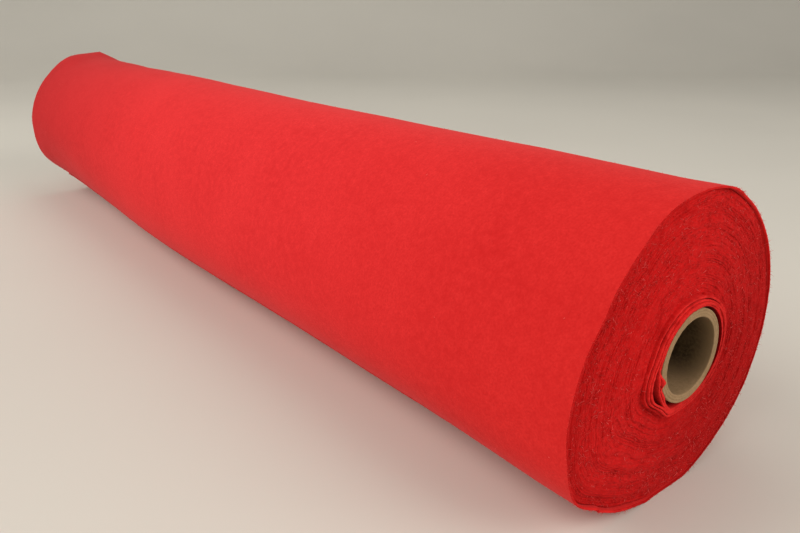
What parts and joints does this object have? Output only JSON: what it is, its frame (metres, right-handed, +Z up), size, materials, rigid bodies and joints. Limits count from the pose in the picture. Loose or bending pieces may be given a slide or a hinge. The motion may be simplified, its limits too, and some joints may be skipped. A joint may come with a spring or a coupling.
{
  "type": "roll of felt on a cardboard tube",
  "caption": "Soft red felt wound tightly on a plain cardboard tube, lying on its side with its wound end and the open tube showing.",
  "frame": {"origin": "on the table, under the middle of the roll's box", "axes": "+X along the roll's axis towards the end where the tube stands out, +Z up from the flat spot that the roll lies on"},
  "size_m": [0.9374, 0.184, 0.1773],
  "materials": {
    "felt": "matt red wool-blend felt with a short soft nap",
    "paperboard": "matt grey-brown kraft paperboard, spiral wound"
  },
  "bodies": {
    "root": {"felt_roll": "felt", "core_tube": "paperboard"}
  },
  "joints": []
}
